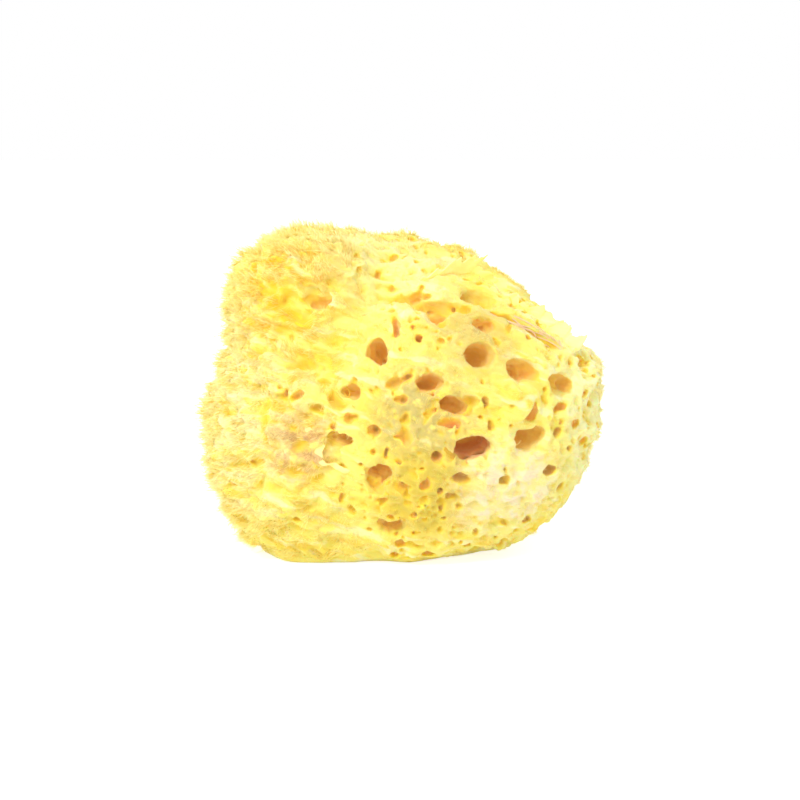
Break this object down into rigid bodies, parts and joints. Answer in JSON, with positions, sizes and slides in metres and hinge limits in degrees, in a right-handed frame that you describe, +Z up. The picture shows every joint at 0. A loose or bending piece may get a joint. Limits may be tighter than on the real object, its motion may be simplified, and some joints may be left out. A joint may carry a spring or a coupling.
{
  "type": "sea sponge",
  "caption": "Natural bath sponge, dried: a lobed body of soft porous fibre with round water canals, resting on the flat face where it was cut from the rock.",
  "frame": {"origin": "centre of the footprint of the whole body, on the plane of the flat cut that it rests on", "axes": "+Z up from the cut, +X along the longest side, -Y towards the front face with the largest canal"},
  "size_m": [0.1512, 0.1144, 0.125],
  "materials": {
    "sponge_fibre": "matt, porous, dry skeleton of springy yellow fibre, paler at the tufts and amber in the canals"
  },
  "bodies": {
    "root": {"sponge": "sponge_fibre"}
  },
  "joints": []
}
